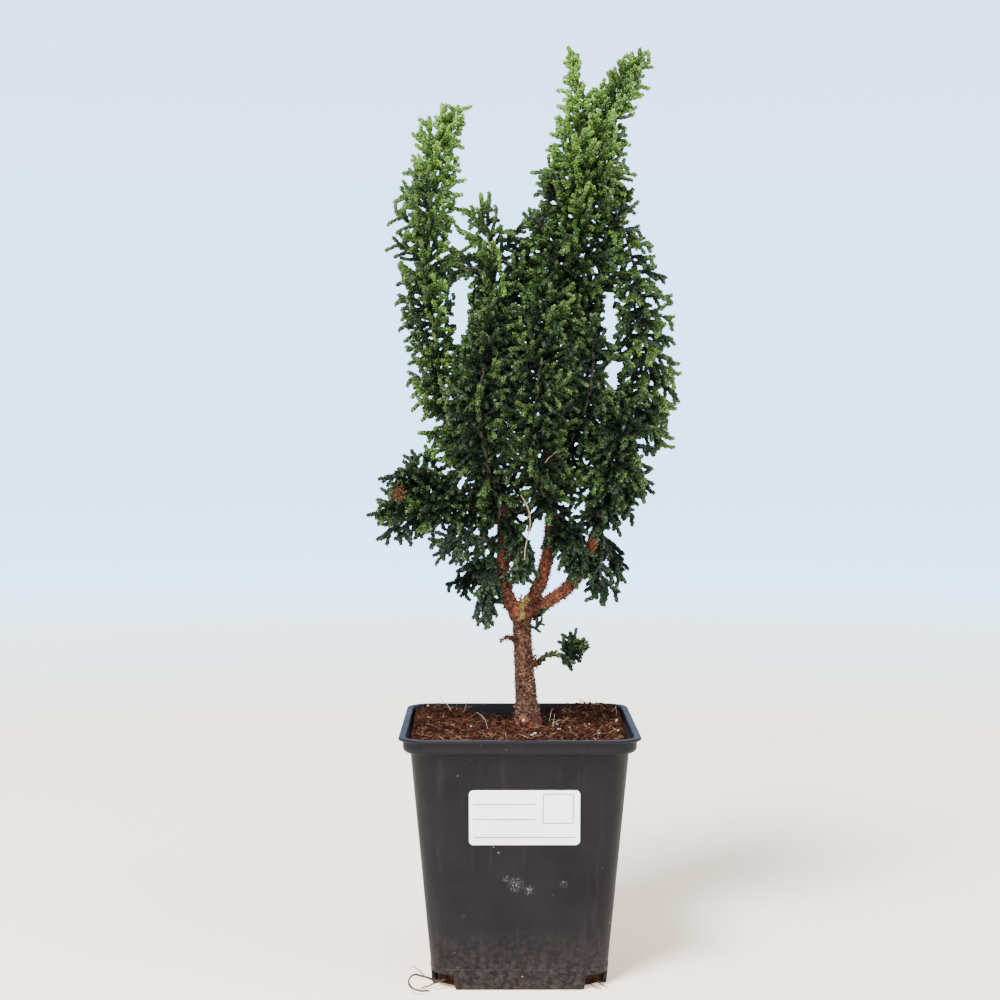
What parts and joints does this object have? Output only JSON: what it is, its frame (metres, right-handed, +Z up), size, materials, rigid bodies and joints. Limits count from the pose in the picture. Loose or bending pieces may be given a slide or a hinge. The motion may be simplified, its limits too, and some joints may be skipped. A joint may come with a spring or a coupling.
{
  "type": "hinoki cypress bonsai",
  "caption": "Young hinoki cypress with a bare trunk that forks into upright leafy limbs, growing in a tapered square plastic nursery pot filled with soil, with a blank sticker.",
  "frame": {"origin": "centre of the pot's underside, on the surface that it stands on", "axes": "+Z up along the pot and the trunk, -Y towards the front wall with the sticker, +X to the right seen from the front"},
  "size_m": [0.1468, 0.11, 0.434],
  "materials": {
    "pot_plastic": "satin charcoal plastic with faint streaks",
    "label_paper": "matt off-white",
    "potting_soil": "crumbly peat and bark, matt",
    "bark": "rough flaking bark",
    "foliage": "waxy scale leaves",
    "young_foliage": "waxy young scale leaves"
  },
  "bodies": {
    "root": {"centre_leader": "foliage", "centre_left_high": "foliage", "centre_left_low": "foliage", "centre_right": "foliage", "crown_back_left": "foliage", "crown_back_mid": "foliage", "crown_back_right": "foliage", "crown_front_left": "foliage", "crown_front_mid": "foliage", "crown_front_right": "foliage", "crown_left": "foliage", "crown_low_back": "foliage", "crown_low_right": "foliage", "crown_mid": "foliage", "crown_right": "foliage", "fork_buds": "young_foliage", "fork_tuft": "foliage", "label": "label_paper", "left_bridge": "foliage", "left_column": "foliage", "left_frond": "foliage", "low_left_arm": "foliage", "low_left_fork": "foliage", "pot": "pot_plastic", "right_column": "foliage", "second_tip": "foliage", "skirt_back": "foliage", "skirt_centre": "foliage", "skirt_centre_back": "foliage", "skirt_front": "foliage", "skirt_left": "foliage", "skirt_mid": "foliage", "skirt_outer": "foliage", "skirt_right": "foliage", "skirt_right_back": "foliage", "soil": "potting_soil", "trunk_and_limbs": "bark", "twig_tuft": "foliage"}
  },
  "joints": []
}
